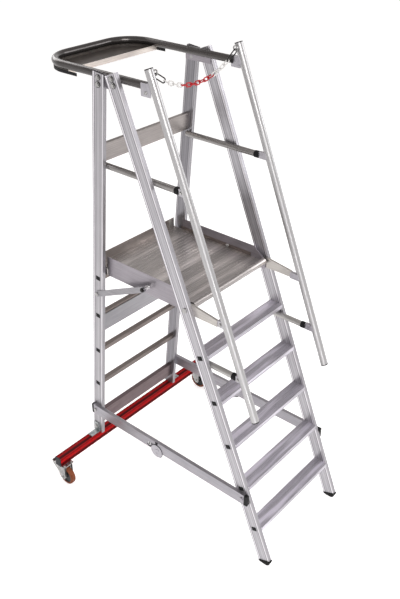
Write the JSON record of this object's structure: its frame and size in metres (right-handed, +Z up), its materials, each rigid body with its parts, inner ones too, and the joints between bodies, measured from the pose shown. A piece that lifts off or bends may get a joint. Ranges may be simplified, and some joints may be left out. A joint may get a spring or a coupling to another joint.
{
  "type": "folding mobile platform step",
  "caption": "Folding platform step with ribbed treads, guarded platform, sloping handrails, tool tray, jointed spreaders, safety chain and a wide base bar on braked castors.",
  "frame": {"origin": "middle of the footprint on the floor, below the middle of the overall box", "axes": "+Z up, +Y to the rear where the tray and the base bar are, the climber faces +Y and +X is on their right"},
  "size_m": [1.342, 1.5794, 2.5751],
  "materials": {
    "stile_alloy": "extruded",
    "tread_alloy": "ribbed extrusion",
    "rubber": "moulded",
    "black_plastic": "moulded",
    "tube_alloy": "drawn tube",
    "plate_alloy": "mill finish",
    "rung_alloy": "mill finish",
    "tray_plastic": "textured",
    "zinc": "zinc plated",
    "red_paint": "powder coat",
    "deck_alloy": "ribbed",
    "wheel_plastic": "moulded",
    "tyre": "polyurethane",
    "pedal_plastic": "moulded",
    "chain_red": "moulded",
    "chain_white": "moulded",
    "steel": "plated"
  },
  "bodies": {
    "front_frame": {"front_stile_left": "stile_alloy", "front_stile_right": "stile_alloy", "step_1": "tread_alloy", "step_2": "tread_alloy", "step_3": "tread_alloy", "step_4": "tread_alloy", "step_5": "tread_alloy", "foot_left": "rubber", "foot_right": "rubber", "front_plugs": "black_plastic", "handrail_left": "tube_alloy", "handrail_right": "tube_alloy", "rail_brackets": "plate_alloy", "knee_rails": "tube_alloy", "lower_stubs": "tube_alloy", "platform_arms": "plate_alloy", "top_rail": "tube_alloy", "head_plates": "plate_alloy", "tray": "tray_plastic", "tray_lip": "plate_alloy", "tray_edging": "black_plastic", "front_bolts": "zinc", "chain_eyes": "zinc"},
    "rear_frame": {"rear_stile_left": "stile_alloy", "rear_stile_right": "stile_alloy", "rung_1": "rung_alloy", "rung_2": "rung_alloy", "rung_3": "rung_alloy", "rung_4": "rung_alloy", "cross_plate": "plate_alloy", "lower_crossbar": "rung_alloy", "back_board": "rung_alloy", "rear_plugs": "black_plastic", "rear_bolts": "zinc", "base_bar": "red_paint", "base_bar_caps": "black_plastic", "stile_brackets": "zinc", "castor_plates": "zinc"},
    "platform": {"platform_deck": "deck_alloy", "platform_sides": "plate_alloy", "toe_board": "plate_alloy", "deck_nosing": "plate_alloy"},
    "chain": {"chain_red": "chain_red", "chain_white": "chain_white", "quick_links": "steel"},
    "link_left": {"link_left": "plate_alloy"},
    "rear_spreader_left": {"rear_spreader_left": "plate_alloy"},
    "front_spreader_left": {"front_spreader_left": "plate_alloy"},
    "castor_left": {"castor_fork_left": "zinc"},
    "wheel_left": {"castor_wheel_left": "wheel_plastic", "castor_tyre_left": "tyre"},
    "brake_left": {"brake_pedal_left": "pedal_plastic"},
    "link_right": {"link_right": "plate_alloy"},
    "rear_spreader_right": {"rear_spreader_right": "plate_alloy"},
    "front_spreader_right": {"front_spreader_right": "plate_alloy"},
    "castor_right": {"castor_fork_right": "zinc"},
    "wheel_right": {"castor_wheel_right": "wheel_plastic", "castor_tyre_right": "tyre"},
    "brake_right": {"brake_pedal_right": "pedal_plastic"}
  },
  "joints": [
    {"name": "fold", "type": "hinge", "parent": "front_frame", "child": "rear_frame", "pos_m": [0, 0.33088, 2.446], "axis": [-1, 0, 0], "range_deg": [0, 17]},
    {"name": "platform_lift", "type": "hinge", "parent": "front_frame", "child": "platform", "pos_m": [0, -0.18766, 1.423], "axis": [1, 0, 0], "range_deg": [0, 54.94]},
    {"name": "chain_swing", "type": "hinge", "parent": "front_frame", "child": "chain", "pos_m": [0, 0.01638, 2.545], "axis": [1, 0, 0], "range_deg": [-40, 40]},
    {"name": "link_turn_left", "type": "hinge", "parent": "rear_frame", "child": "link_left", "pos_m": [-0.34, 0.45034, 1.27], "axis": [-1, 0, 0], "range_deg": [0, 27.92]},
    {"name": "rear_spreader_turn_left", "type": "hinge", "parent": "rear_frame", "child": "rear_spreader_left", "pos_m": [-0.34, 0.53769, 0.41], "axis": [-1, 0, 0], "range_deg": [0, 57.43]},
    {"name": "spreader_hinge_left", "type": "hinge", "parent": "rear_spreader_left", "child": "front_spreader_left", "pos_m": [-0.34, 0.0227, 0.37], "axis": [1, 0, 0], "range_deg": [0, 134]},
    {"name": "castor_swivel_left", "type": "hinge", "parent": "rear_frame", "child": "castor_left", "pos_m": [-0.627, 0.56055, 0.15], "axis": [0, 0, 1], "continuous": true},
    {"name": "wheel_spin_left", "type": "hinge", "parent": "castor_left", "child": "wheel_left", "pos_m": [-0.627, 0.54255, 0.0625], "axis": [1, 0, 0], "continuous": true},
    {"name": "brake_press_left", "type": "hinge", "parent": "castor_left", "child": "brake_left", "pos_m": [-0.627, 0.59055, 0.1267], "axis": [-1, 0, 0], "range_deg": [0, 14]},
    {"name": "link_turn_right", "type": "hinge", "parent": "rear_frame", "child": "link_right", "pos_m": [0.34, 0.45034, 1.27], "axis": [-1, 0, 0], "range_deg": [0, 27.92]},
    {"name": "rear_spreader_turn_right", "type": "hinge", "parent": "rear_frame", "child": "rear_spreader_right", "pos_m": [0.34, 0.53769, 0.41], "axis": [-1, 0, 0], "range_deg": [0, 57.43]},
    {"name": "spreader_hinge_right", "type": "hinge", "parent": "rear_spreader_right", "child": "front_spreader_right", "pos_m": [0.34, 0.0227, 0.37], "axis": [1, 0, 0], "range_deg": [0, 134]},
    {"name": "castor_swivel_right", "type": "hinge", "parent": "rear_frame", "child": "castor_right", "pos_m": [0.627, 0.56055, 0.15], "axis": [0, 0, 1], "continuous": true},
    {"name": "wheel_spin_right", "type": "hinge", "parent": "castor_right", "child": "wheel_right", "pos_m": [0.627, 0.54255, 0.0625], "axis": [1, 0, 0], "continuous": true},
    {"name": "brake_press_right", "type": "hinge", "parent": "castor_right", "child": "brake_right", "pos_m": [0.627, 0.59055, 0.1267], "axis": [-1, 0, 0], "range_deg": [0, 14]}
  ],
  "couplings": [
    {"joint": "platform_lift", "follows": "fold", "ratio": 3.2022},
    {"joint": "link_turn_left", "follows": "fold", "ratio": 1.6131},
    {"joint": "rear_spreader_turn_left", "follows": "fold", "ratio": 3.3487},
    {"joint": "spreader_hinge_left", "follows": "fold", "ratio": 7.853},
    {"joint": "link_turn_right", "follows": "fold", "ratio": 1.6131},
    {"joint": "rear_spreader_turn_right", "follows": "fold", "ratio": 3.3487},
    {"joint": "spreader_hinge_right", "follows": "fold", "ratio": 7.853}
  ]
}
